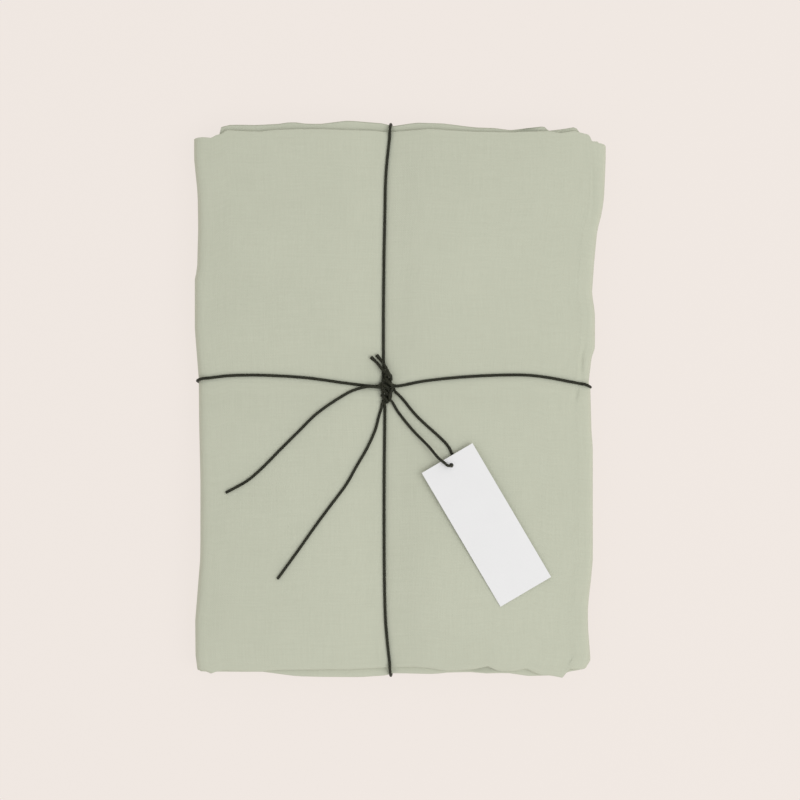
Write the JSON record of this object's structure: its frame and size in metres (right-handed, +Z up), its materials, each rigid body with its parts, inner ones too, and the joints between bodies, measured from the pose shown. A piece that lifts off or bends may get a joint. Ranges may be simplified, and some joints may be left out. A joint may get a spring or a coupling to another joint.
{
  "type": "folded tablecloth",
  "caption": "Folded linen tablecloth tied crosswise and lengthwise with waxed cord, with a blank card tag that lifts on a loop of cord and swings about its hole.",
  "frame": {"origin": "under the middle of the folded cloth, on the surface that it lies on", "axes": "+Z up, the knot is on top; +Y along the cloth's long side, away from the tag; +X towards the side that the tag leans to"},
  "size_m": [0.2876, 0.3911, 0.033],
  "materials": {
    "linen": "matte",
    "waxed_cord": "satin",
    "card": "matte"
  },
  "bodies": {
    "bundle": {"folded_tablecloth": "linen", "tie_cord_left_to_top": "waxed_cord", "tie_cord_right_to_bottom": "waxed_cord", "tie_knot": "waxed_cord", "tie_tail_left": "waxed_cord", "tie_tail_lower": "waxed_cord", "tag_string_knot": "waxed_cord", "tag_string_end_left": "waxed_cord", "tag_string_end_right": "waxed_cord"},
    "tag_string": {"tag_string_loop": "waxed_cord"},
    "tag": {"hang_tag": "card"}
  },
  "joints": [
    {"name": "tag_string_lift", "type": "hinge", "parent": "bundle", "child": "tag_string", "pos_m": [-0.00445, 0.0016, 0.02442], "axis": [-0.2183, -0.9759, 0], "range_deg": [0, 95]},
    {"name": "tag_swing", "type": "hinge", "parent": "tag_string", "child": "tag", "pos_m": [0.0357, -0.0461, 0.02949], "axis": [0.0158, -0.0268, 0.9995], "range_deg": [-35, 35]}
  ]
}
